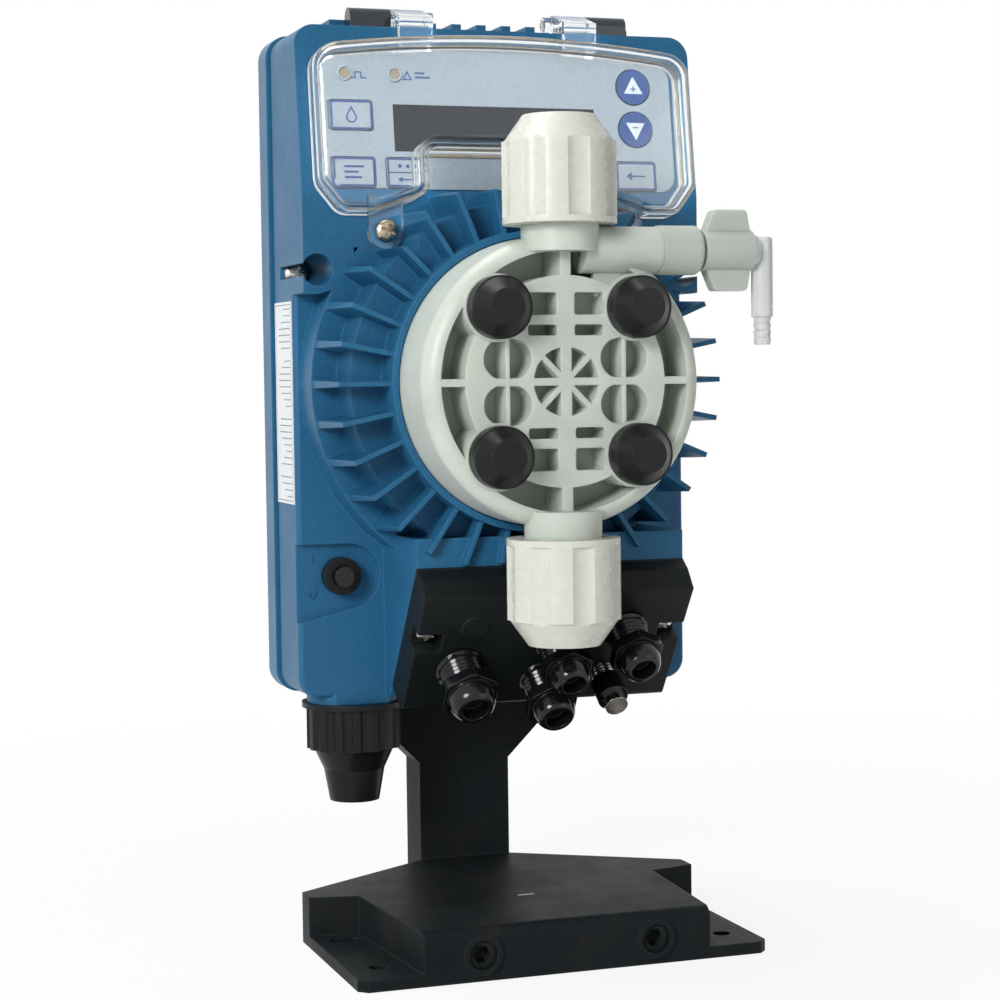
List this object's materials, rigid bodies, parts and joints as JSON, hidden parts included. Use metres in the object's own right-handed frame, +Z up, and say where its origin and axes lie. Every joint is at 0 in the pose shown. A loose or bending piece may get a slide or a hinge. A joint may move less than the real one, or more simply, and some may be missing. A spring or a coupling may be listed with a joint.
{
  "type": "diaphragm metering pump",
  "caption": "Solenoid diaphragm metering pump: blue finned case on a black foot, white ribbed liquid end with valve unions and bleed valve, hinged clear panel cover and cable glands.",
  "frame": {"origin": "centre of the four foot holes, on the floor under the foot plate", "axes": "+Z up, the pump's front faces -Y, +X is the viewer's right"},
  "size_m": [0.1275, 0.1238, 0.2772],
  "materials": {
    "case_blue": "textured moulded blue",
    "gasket_tan": "matte",
    "black_plastic": "matte moulded",
    "black_gloss": "glossy",
    "clear_plastic": "clear",
    "overlay_grey": "fine textured film",
    "display_dark": "glossy",
    "key_grey": "satin film",
    "key_blue": "satin film",
    "lamp": "diffuse lens",
    "steel": "brushed",
    "brass": "bright",
    "white_plastic": "translucent natural",
    "white_ceramic": "polished",
    "seal_black": "matte",
    "white_sheet": "paper film",
    "copper": "enamelled winding",
    "board_green": "lacquered"
  },
  "bodies": {
    "pump": {"adapter_plate": "white_plastic", "bleed_bonnet": "white_plastic", "bolt_caps": "seal_black", "bracket_screws": "steel", "case_gasket": "gasket_tan", "case_screws": "steel", "circuit_boards": "board_green", "diaphragm_ring": "white_ceramic", "display_window": "display_dark", "foot_bracket": "black_plastic", "front_housing": "case_blue", "gland_bodies": "black_gloss", "gland_nuts": "black_gloss", "head_bolts": "steel", "head_seal": "seal_black", "hinge_blocks": "case_blue", "hinge_pins": "black_plastic", "inlet_body": "black_plastic", "inlet_nut": "black_plastic", "inlet_sleeve": "black_plastic", "keypad_overlay": "overlay_grey", "lamp_lenses": "lamp", "lid_screws": "steel", "lid_seal": "seal_black", "magnet_coil": "copper", "magnet_yoke": "steel", "pump_head": "white_plastic", "rear_case": "case_blue", "return_spring": "steel", "side_label": "white_sheet", "signal_plug": "steel", "signal_plug_grip": "black_gloss", "spring_washer": "steel", "switch_body": "black_plastic", "terminal_block": "black_plastic", "terminal_lid": "black_plastic", "valve_cartridges": "white_plastic", "valve_seats": "white_plastic", "valve_washers": "seal_black"},
    "cover": {"clear_cover": "clear_plastic", "cover_screws": "brass"},
    "key_upper_left": {"key_upper_left": "key_grey"},
    "key_lower_left": {"key_lower_left": "key_grey"},
    "key_lower_middle": {"key_lower_middle": "key_grey"},
    "key_lower_right": {"key_lower_right": "key_grey"},
    "key_up": {"key_up": "key_blue"},
    "key_down": {"key_down": "key_blue"},
    "switch_button": {"switch_button": "black_gloss"},
    "drive": {"plunger": "steel", "diaphragm_disc": "white_ceramic"},
    "upper_ball": {"upper_ball": "white_ceramic"},
    "lower_ball": {"lower_ball": "white_ceramic"},
    "upper_clamp": {"upper_clamp": "white_plastic"},
    "upper_union": {"upper_union_nut": "white_plastic"},
    "lower_clamp": {"lower_clamp": "white_plastic"},
    "lower_union": {"lower_union_nut": "white_plastic"},
    "bleed_stem": {"bleed_ring": "seal_black"},
    "bleed_knob": {"bleed_knob": "white_plastic"},
    "bleed_elbow": {"bleed_elbow": "white_plastic"}
  },
  "joints": [
    {"name": "cover_hinge", "type": "hinge", "parent": "pump", "child": "cover", "pos_m": [0, 0.0312, 0.2742], "axis": [-1, 0, 0], "range_deg": [0, 110]},
    {"name": "key_upper_left_press", "type": "slide", "parent": "pump", "child": "key_upper_left", "axis": [0, 0.9903, -0.1392], "range_m": [0, 0.0005], "stiffness_N_per_m": 600, "springref_m": -0.0002},
    {"name": "key_lower_left_press", "type": "slide", "parent": "pump", "child": "key_lower_left", "axis": [0, 0.9903, -0.1392], "range_m": [0, 0.0005], "stiffness_N_per_m": 600, "springref_m": -0.0002},
    {"name": "key_lower_middle_press", "type": "slide", "parent": "pump", "child": "key_lower_middle", "axis": [0, 0.9903, -0.1392], "range_m": [0, 0.0005], "stiffness_N_per_m": 600, "springref_m": -0.0002},
    {"name": "key_lower_right_press", "type": "slide", "parent": "pump", "child": "key_lower_right", "axis": [0, 0.9903, -0.1392], "range_m": [0, 0.0005], "stiffness_N_per_m": 600, "springref_m": -0.0002},
    {"name": "key_up_press", "type": "slide", "parent": "pump", "child": "key_up", "axis": [0, 0.9903, -0.1392], "range_m": [0, 0.0005], "stiffness_N_per_m": 600, "springref_m": -0.0002},
    {"name": "key_down_press", "type": "slide", "parent": "pump", "child": "key_down", "axis": [0, 0.9903, -0.1392], "range_m": [0, 0.0005], "stiffness_N_per_m": 600, "springref_m": -0.0002},
    {"name": "switch_press", "type": "slide", "parent": "pump", "child": "switch_button", "axis": [0, 1, 0], "range_m": [0, 0.0015], "stiffness_N_per_m": 400, "springref_m": -0.0005},
    {"name": "drive_stroke", "type": "slide", "parent": "pump", "child": "drive", "axis": [0, -1, 0], "range_m": [0, 0.00125], "stiffness_N_per_m": 4000, "springref_m": -0.0005},
    {"name": "upper_ball_lift", "type": "slide", "parent": "pump", "child": "upper_ball", "axis": [0, 0, 1], "range_m": [0, 0.0015]},
    {"name": "lower_ball_lift", "type": "slide", "parent": "pump", "child": "lower_ball", "axis": [0, 0, 1], "range_m": [0, 0.0015]},
    {"name": "upper_union_travel", "type": "slide", "parent": "pump", "child": "upper_clamp", "axis": [0, 0, 1], "range_m": [0, 0.004]},
    {"name": "upper_union_turn", "type": "hinge", "parent": "upper_clamp", "child": "upper_union", "pos_m": [0, -0.0288, 0.1664], "axis": [0, 0, 1], "range_deg": [0, 720.5]},
    {"name": "lower_union_travel", "type": "slide", "parent": "pump", "child": "lower_clamp", "axis": [0, 0, -1], "range_m": [0, 0.004]},
    {"name": "lower_union_turn", "type": "hinge", "parent": "lower_clamp", "child": "lower_union", "pos_m": [0, -0.0288, 0.1664], "axis": [0, 0, -1], "range_deg": [0, 720.5]},
    {"name": "bleed_travel", "type": "slide", "parent": "pump", "child": "bleed_stem", "axis": [1, 0, 0], "range_m": [0, 0.0015]},
    {"name": "bleed_turn", "type": "hinge", "parent": "bleed_stem", "child": "bleed_knob", "pos_m": [0, -0.0288, 0.203], "axis": [1, 0, 0], "range_deg": [0, 540.5]},
    {"name": "elbow_swivel", "type": "hinge", "parent": "bleed_stem", "child": "bleed_elbow", "pos_m": [0, -0.0288, 0.203], "axis": [1, 0, 0], "range_deg": [-90, 90]}
  ],
  "couplings": [
    {"joint": "upper_union_turn", "follows": "upper_union_travel", "rad_per_m": 3141.6},
    {"joint": "lower_union_turn", "follows": "lower_union_travel", "rad_per_m": 3141.6},
    {"joint": "bleed_turn", "follows": "bleed_travel", "rad_per_m": 6283.2}
  ]
}
